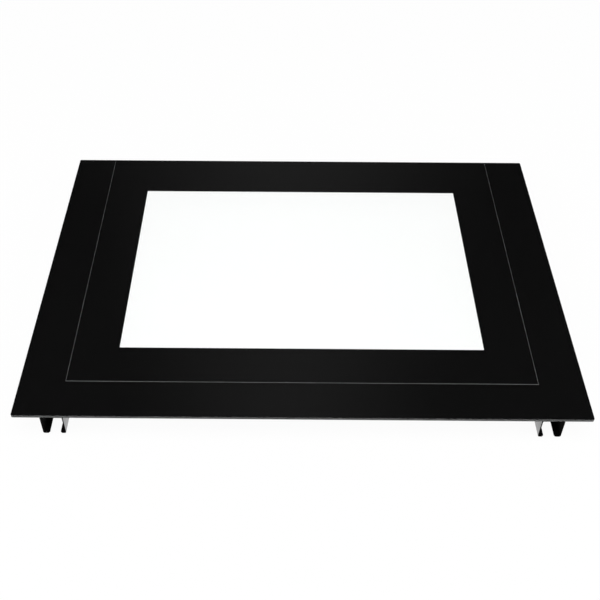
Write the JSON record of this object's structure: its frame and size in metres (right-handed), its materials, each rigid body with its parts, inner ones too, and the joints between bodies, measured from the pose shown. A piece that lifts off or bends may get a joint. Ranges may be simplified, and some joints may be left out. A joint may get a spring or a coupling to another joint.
{
  "type": "oven door glass",
  "caption": "Outer oven door glass: a toughened pane with a black enamel border round a clear window, and lipped steel rails bonded to its back.",
  "frame": {"origin": "below the middle of the pane, level with the undersides of the rails' lips, on which it stands", "axes": "+X along the door's width, +Y up the door away from its lower edge, +Z out of the glass face"},
  "size_m": [0.595, 0.44, 0.032],
  "materials": {
    "clear_glass": "gloss",
    "black_enamel": "gloss",
    "painted_rail": "satin",
    "silicone": "satin"
  },
  "bodies": {
    "root": {"glass_pane": "clear_glass", "enamel_border": "black_enamel", "left_rail": "painted_rail", "right_rail": "painted_rail", "left_adhesive": "silicone", "right_adhesive": "silicone"}
  },
  "joints": []
}
